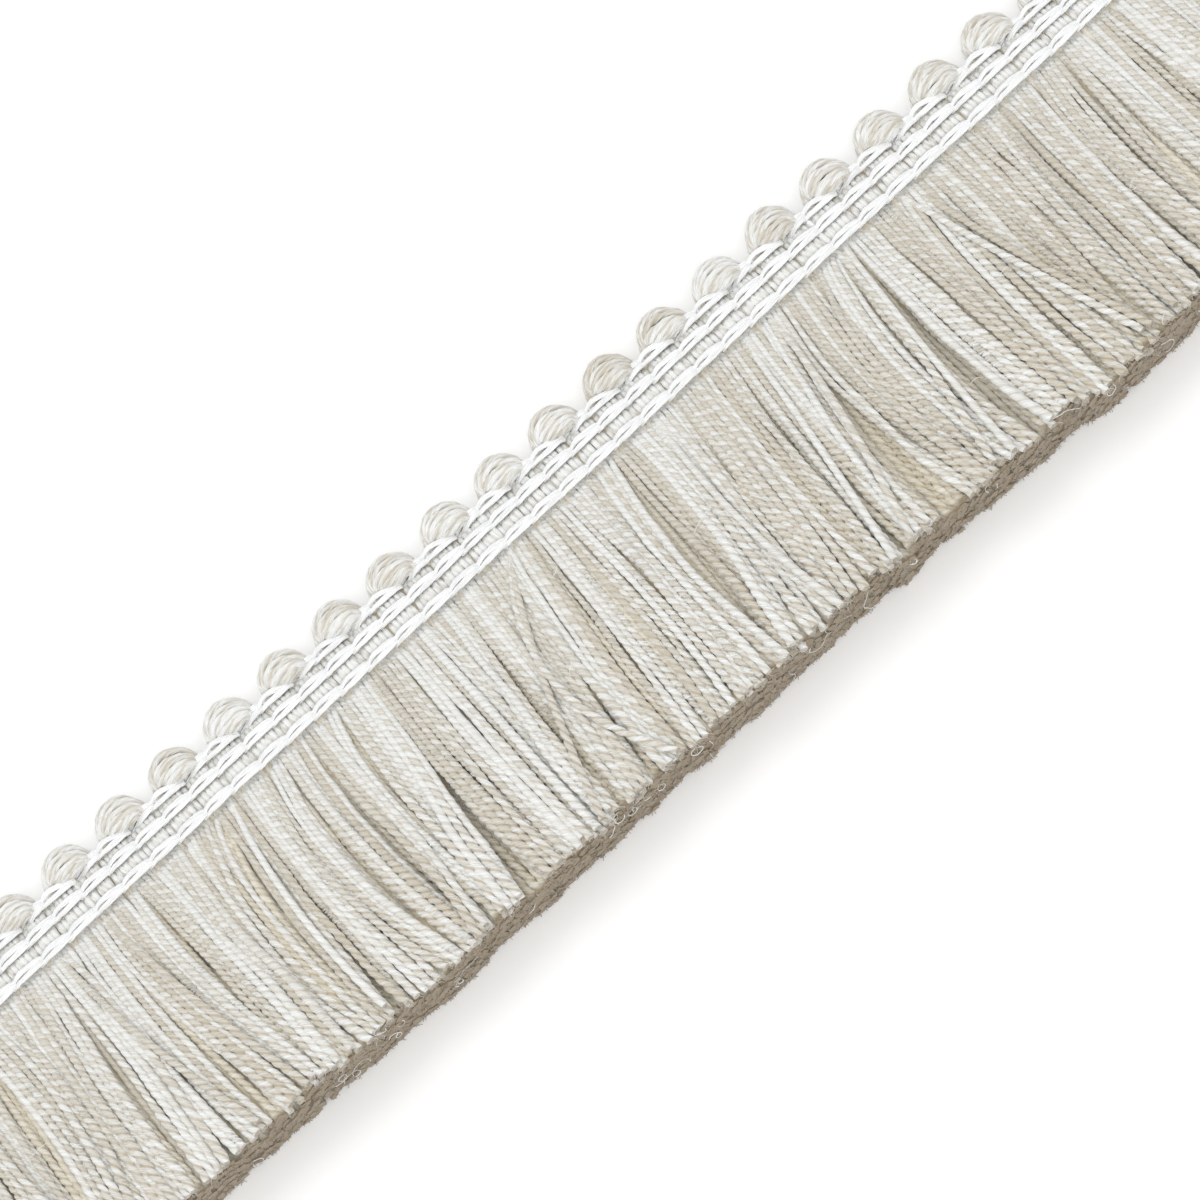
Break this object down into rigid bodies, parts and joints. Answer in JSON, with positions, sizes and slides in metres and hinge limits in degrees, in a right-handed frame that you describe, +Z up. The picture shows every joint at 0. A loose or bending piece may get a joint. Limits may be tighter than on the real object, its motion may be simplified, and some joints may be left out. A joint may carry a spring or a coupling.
{
  "type": "brush fringe trim",
  "caption": "Cut length of cotton brush fringe trim: a woven heading with a scalloped edge on one side and a thick skirt of cut plied yarn on the other.",
  "frame": {"origin": "middle of the space that the trim covers, on the surface it lies on", "axes": "+X along the trim, +Y towards the scalloped edge, +Z up out of the trim's face"},
  "size_m": [0.1788, 0.0392, 0.007],
  "materials": {
    "heading_weft": "soft matte cotton weft, white and oatmeal yarns mixed",
    "warp_thread": "bleached white cotton warp thread, slightly lustrous",
    "fringe_yarn": "soft two-ply cotton yarn, white and oatmeal mixed, cut ends fuzzy",
    "scallop_yarn": "soft matte cotton yarn, loosely bundled"
  },
  "bodies": {
    "root": {"heading": "heading_weft", "warp_row_edge": "warp_thread", "warp_row_middle": "warp_thread", "warp_row_skirt": "warp_thread", "fringe": "fringe_yarn", "scallop_01": "scallop_yarn", "scallop_02": "scallop_yarn", "scallop_03": "scallop_yarn", "scallop_04": "scallop_yarn", "scallop_05": "scallop_yarn", "scallop_06": "scallop_yarn", "scallop_07": "scallop_yarn", "scallop_08": "scallop_yarn", "scallop_09": "scallop_yarn", "scallop_10": "scallop_yarn", "scallop_11": "scallop_yarn", "scallop_12": "scallop_yarn", "scallop_13": "scallop_yarn", "scallop_14": "scallop_yarn", "scallop_15": "scallop_yarn", "scallop_16": "scallop_yarn", "scallop_17": "scallop_yarn", "scallop_18": "scallop_yarn", "scallop_19": "scallop_yarn", "scallop_20": "scallop_yarn", "scallop_21": "scallop_yarn", "scallop_22": "scallop_yarn", "scallop_23": "scallop_yarn", "scallop_24": "scallop_yarn", "scallop_25": "scallop_yarn"}
  },
  "joints": []
}
